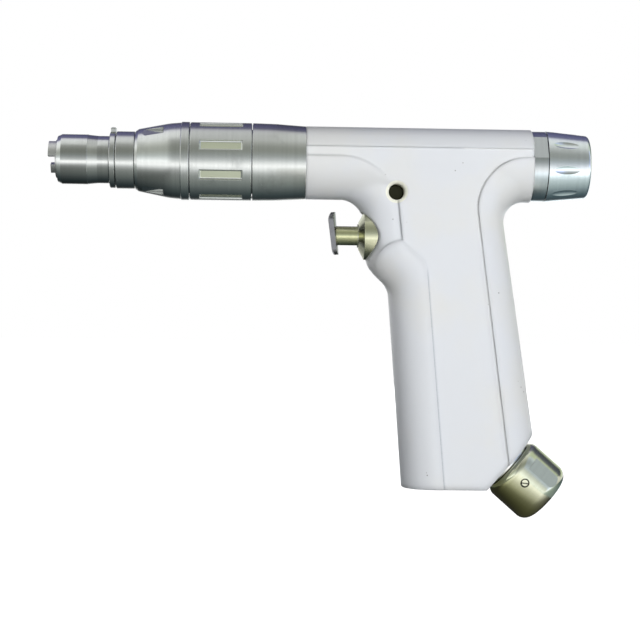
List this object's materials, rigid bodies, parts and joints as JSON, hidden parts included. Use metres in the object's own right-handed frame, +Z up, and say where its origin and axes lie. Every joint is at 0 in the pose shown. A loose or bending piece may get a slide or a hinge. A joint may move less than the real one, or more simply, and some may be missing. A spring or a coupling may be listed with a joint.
{
  "type": "surgical power drill",
  "caption": "Pistol-shaped surgical drill and reamer handpiece with a stepped steel nose, push trigger, turning collars and a slanted cable socket at the heel of the grip.",
  "frame": {"origin": "on the spindle axis at the mouth of the nose", "axes": "-X along the spindle axis out of the nose, +Z up with the grip hanging down, -Y the near side"},
  "size_m": [0.2362, 0.0342, 0.1722],
  "materials": {
    "coated_metal": "white satin coating",
    "satin_steel": "fine turned satin",
    "spindle_steel": "worn satin",
    "nickel_steel": "warm satin",
    "polished_steel": "polished",
    "bearing_steel": "ground",
    "blackened_steel": "black oxide",
    "gear_steel": "oiled",
    "spring_steel": "drawn wire",
    "core_aluminium": "machined",
    "laminated_iron": "lacquered laminations",
    "magnet": "nickel plated",
    "copper": "enamelled wire",
    "dark_inlay": "enamel",
    "rubber": "moulded",
    "insulator": "moulded",
    "contact_brass": "gold plated"
  },
  "bodies": {
    "body": {"housing": "coated_metal", "nose_sleeve": "satin_steel", "front_housing": "satin_steel", "cone_shell": "satin_steel", "cone_ring": "satin_steel", "index_sleeve": "satin_steel", "rear_ring": "satin_steel", "trigger_bushing": "nickel_steel", "connector_barrel": "nickel_steel", "connector_screw": "nickel_steel", "connector_flange": "polished_steel", "front_bearing": "bearing_steel", "spindle_bearing": "bearing_steel", "motor_front_bearing": "bearing_steel", "motor_rear_bearing": "bearing_steel", "collar_detent": "bearing_steel", "cap_detent": "bearing_steel", "ring_gear": "gear_steel", "release_spring": "spring_steel", "trigger_spring": "spring_steel", "gear_tube": "core_aluminium", "bearing_holder": "core_aluminium", "stator_core": "laminated_iron", "stator_windings": "copper", "index_dot": "dark_inlay", "front_seal": "rubber", "trigger_seal": "rubber", "connector_seal": "rubber", "connector_insert": "insulator", "trigger_sensor": "insulator", "control_module": "insulator", "motor_leads": "insulator", "connector_pins": "contact_brass"},
    "spindle": {"spindle": "spindle_steel", "planet_carrier": "gear_steel", "planet_pins": "gear_steel"},
    "planet_1": {"planet_gear_1": "gear_steel"},
    "planet_2": {"planet_gear_2": "gear_steel"},
    "planet_3": {"planet_gear_3": "gear_steel"},
    "rotor": {"rotor_shaft": "gear_steel", "rotor_magnet": "magnet", "sun_gear": "gear_steel"},
    "release_ring": {"release_ring": "satin_steel"},
    "speed_collar": {"speed_collar": "satin_steel"},
    "rear_cap": {"rear_cap": "satin_steel"},
    "lock_pin": {"lock_pin": "blackened_steel"},
    "trigger": {"trigger_plate": "satin_steel", "trigger_plunger": "nickel_steel", "trigger_retainer": "spring_steel", "trigger_magnet": "magnet"}
  },
  "joints": [
    {"name": "spindle_spin", "type": "hinge", "parent": "body", "child": "spindle", "pos_m": [0, 0, 0], "axis": [1, 0, 0], "continuous": true},
    {"name": "rotor_spin", "type": "hinge", "parent": "body", "child": "rotor", "pos_m": [0, 0, 0], "axis": [1, 0, 0], "continuous": true},
    {"name": "planet_1_spin", "type": "hinge", "parent": "spindle", "child": "planet_1", "pos_m": [0.0755, 0, 0.00675], "axis": [1, 0, 0], "continuous": true},
    {"name": "planet_2_spin", "type": "hinge", "parent": "spindle", "child": "planet_2", "pos_m": [0.0755, -0.00585, -0.00337], "axis": [1, 0, 0], "continuous": true},
    {"name": "planet_3_spin", "type": "hinge", "parent": "spindle", "child": "planet_3", "pos_m": [0.0755, 0.00585, -0.00337], "axis": [1, 0, 0], "continuous": true},
    {"name": "release_ring_turn", "type": "hinge", "parent": "body", "child": "release_ring", "pos_m": [0.02395, 0, 0], "axis": [1, 0, 0], "range_deg": [0, 30], "stiffness_Nm_per_rad": 0.1, "springref_deg": -17.19},
    {"name": "speed_collar_turn", "type": "hinge", "parent": "body", "child": "speed_collar", "pos_m": [0.0711, 0, 0], "axis": [1, 0, 0], "range_deg": [0, 60]},
    {"name": "rear_cap_turn", "type": "hinge", "parent": "body", "child": "rear_cap", "pos_m": [0.2229, 0, 0], "axis": [1, 0, 0], "range_deg": [-30, 30]},
    {"name": "trigger_slide", "type": "slide", "parent": "body", "child": "trigger", "axis": [1, 0, 0], "range_m": [0, 0.006], "stiffness_N_per_m": 900, "springref_m": -0.004, "deforming": ["trigger_spring"]},
    {"name": "lock_pin_slide", "type": "slide", "parent": "body", "child": "lock_pin", "axis": [0, -1, 0], "range_m": [0, 0.006]}
  ],
  "couplings": [
    {"joint": "rotor_spin", "follows": "spindle_spin", "ratio": 5},
    {"joint": "planet_1_spin", "follows": "spindle_spin", "ratio": -2.6667},
    {"joint": "planet_2_spin", "follows": "spindle_spin", "ratio": -2.6667},
    {"joint": "planet_3_spin", "follows": "spindle_spin", "ratio": -2.6667}
  ]
}
